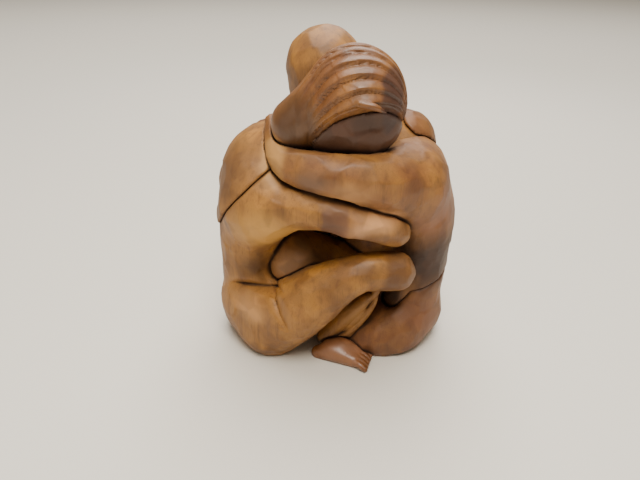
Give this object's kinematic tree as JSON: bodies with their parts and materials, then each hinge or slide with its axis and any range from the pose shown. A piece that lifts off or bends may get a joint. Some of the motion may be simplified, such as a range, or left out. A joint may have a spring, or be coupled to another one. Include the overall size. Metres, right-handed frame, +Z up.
{
  "type": "carved embracing couple sculpture",
  "caption": "Polished hardwood carving of two seated figures folded into one rounded embrace, heads bowed together, one with combed hair, standing on its flat underside.",
  "frame": {"origin": "middle of the bounding box on the flat underside, where the carving stands", "axes": "+Z up; +X towards the figure on the right; -Y towards the viewer, the side with the raised knee, the foot and the combed head"},
  "size_m": [0.2957, 0.2367, 0.3882],
  "materials": {
    "sapwood": "carved, sanded and waxed, satin, pale orange tan",
    "heartwood": "carved, sanded and waxed, satin, reddish brown"
  },
  "bodies": {
    "root": {"left_head": "heartwood", "left_hair": "heartwood", "right_head": "heartwood", "right_near_arm": "heartwood", "left_nape": "sapwood", "left_near_arm": "sapwood", "left_far_arm": "sapwood", "right_far_arm": "heartwood", "left_near_foot": "sapwood", "right_far_foot": "heartwood", "left_near_thigh": "sapwood", "right_far_thigh": "heartwood", "left_near_calf": "sapwood", "right_far_calf": "heartwood", "right_near_shin": "heartwood", "left_far_shin": "sapwood", "left_hips": "sapwood", "right_hips": "heartwood", "left_torso": "sapwood", "right_torso": "heartwood", "right_near_thigh": "heartwood", "left_far_thigh": "sapwood", "left_neck": "sapwood", "right_neck": "heartwood", "left_chest": "sapwood", "right_chest": "heartwood"}
  },
  "joints": []
}
